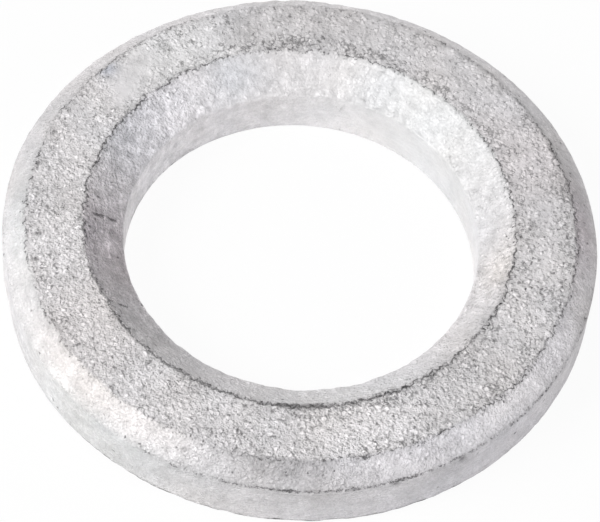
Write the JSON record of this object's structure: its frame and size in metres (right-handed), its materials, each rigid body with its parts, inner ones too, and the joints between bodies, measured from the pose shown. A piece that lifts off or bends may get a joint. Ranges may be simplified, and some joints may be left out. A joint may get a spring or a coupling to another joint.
{
  "type": "structural bolt washer",
  "caption": "Thick round galvanised steel washer, countersunk round the bore and chamfered round the rim on its upper side, for a structural bolt.",
  "frame": {"origin": "centre of the flat lower bearing face, on the bore's axis", "axes": "+Z along the bore's axis, towards the countersunk upper face"},
  "size_m": [0.0295, 0.0294, 0.004],
  "materials": {
    "zinc": "hot-dip galvanised, satin, granular"
  },
  "bodies": {
    "root": {"washer": "zinc"}
  },
  "joints": []
}
